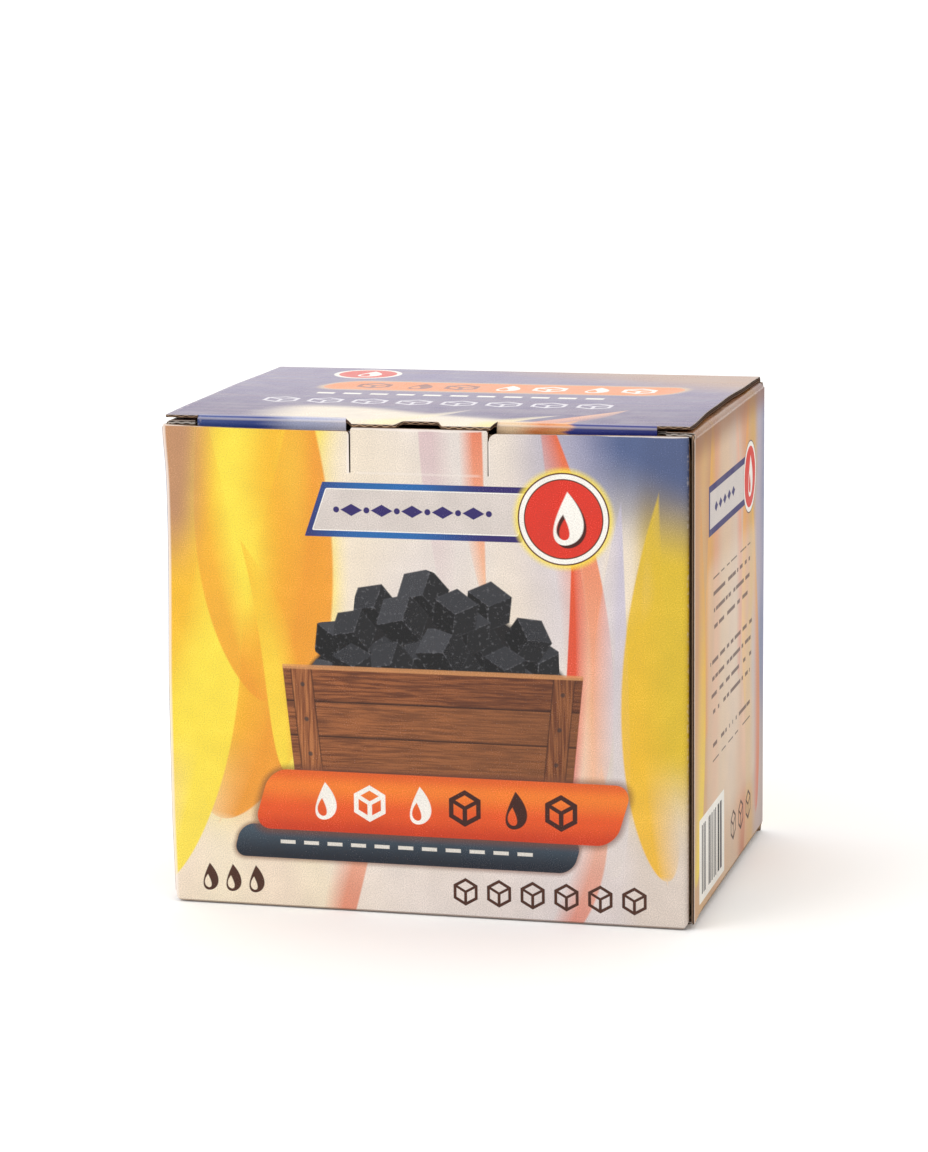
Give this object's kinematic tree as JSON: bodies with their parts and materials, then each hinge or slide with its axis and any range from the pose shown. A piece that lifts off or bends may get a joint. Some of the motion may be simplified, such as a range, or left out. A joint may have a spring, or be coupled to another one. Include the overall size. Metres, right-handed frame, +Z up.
{
  "type": "charcoal carton",
  "caption": "Small tuck-top carton of printed fluted board with a hinged lid, tuck flap and dust flaps, for charcoal briquettes.",
  "frame": {"origin": "middle of the carton's base, on the surface that it stands on", "axes": "+Z up, the printed front faces -Y, +X to the right of someone looking at the front"},
  "size_m": [0.132, 0.1, 0.1223],
  "materials": {
    "front_print": "semi-gloss print",
    "right_print": "semi-gloss print",
    "left_print": "semi-gloss print",
    "back_print": "semi-gloss print",
    "seam_kraft": "matt brown liner",
    "base_kraft": "matt brown liner",
    "base_flap_left_kraft": "matt grey liner",
    "base_flap_right_kraft": "matt grey liner",
    "dust_flap_left_print": "matt pale liner",
    "dust_flap_right_print": "matt pale liner",
    "lid_print": "semi-gloss print",
    "tuck_print": "semi-gloss print"
  },
  "bodies": {
    "carton": {"front_panel": "front_print", "right_panel": "right_print", "left_panel": "left_print", "back_panel": "back_print", "seam_flap": "seam_kraft", "base_panel": "base_kraft", "base_flap_left": "base_flap_left_kraft", "base_flap_right": "base_flap_right_kraft"},
    "lid": {"lid_panel": "lid_print"},
    "tuck": {"tuck_flap": "tuck_print"},
    "dust_left": {"dust_flap_left": "dust_flap_left_print"},
    "dust_right": {"dust_flap_right": "dust_flap_right_print"}
  },
  "joints": [
    {"name": "lid_hinge", "type": "hinge", "parent": "carton", "child": "lid", "pos_m": [0, 0.05, 0.1223], "axis": [-1, 0, 0], "range_deg": [0, 180]},
    {"name": "tuck_hinge", "type": "hinge", "parent": "lid", "child": "tuck", "pos_m": [0, -0.0467, 0.1223], "axis": [-1, 0, 0], "range_deg": [0, 27.5]},
    {"name": "dust_left_hinge", "type": "hinge", "parent": "carton", "child": "dust_left", "pos_m": [-0.066, 0, 0.1208], "axis": [0, -1, 0], "range_deg": [0, 60]},
    {"name": "dust_right_hinge", "type": "hinge", "parent": "carton", "child": "dust_right", "pos_m": [0.066, 0, 0.1208], "axis": [0, 1, 0], "range_deg": [0, 60]}
  ],
  "couplings": [
    {"joint": "tuck_hinge", "follows": "lid_hinge", "ratio": 0.15},
    {"joint": "dust_left_hinge", "follows": "lid_hinge", "ratio": 0.33},
    {"joint": "dust_right_hinge", "follows": "lid_hinge", "ratio": 0.33}
  ]
}
